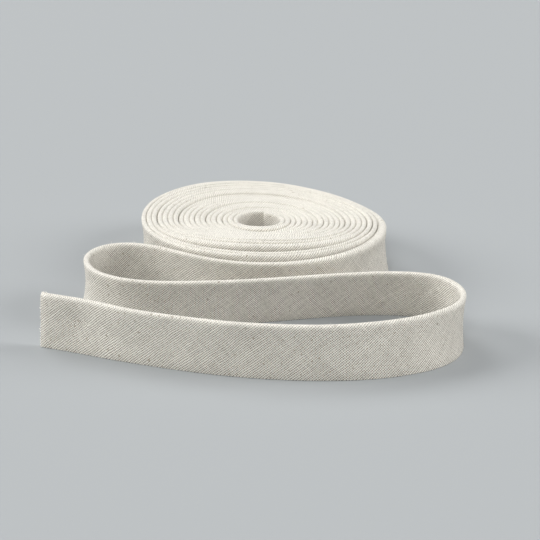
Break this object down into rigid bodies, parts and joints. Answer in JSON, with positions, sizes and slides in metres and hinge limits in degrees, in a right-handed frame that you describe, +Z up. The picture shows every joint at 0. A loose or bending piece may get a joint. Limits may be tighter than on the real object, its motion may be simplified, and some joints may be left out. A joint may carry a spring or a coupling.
{
  "type": "roll of bias binding",
  "caption": "Flat-wound roll of double-fold linen bias binding lying on its side, with its loose end standing on edge in an S-shaped curve.",
  "frame": {"origin": "on the resting surface, under the middle of the whole part's bounding box", "axes": "+Z up, along the roll's winding axis; +Y from the loose end towards the roll; +X to the right, towards the loose end's larger bend"},
  "size_m": [0.151, 0.1582, 0.0223],
  "materials": {
    "linen": "undyed plain-woven linen cut on the bias, folded and pressed, matt"
  },
  "bodies": {
    "root": {"wound_roll": "linen", "loose_end": "linen"}
  },
  "joints": []
}
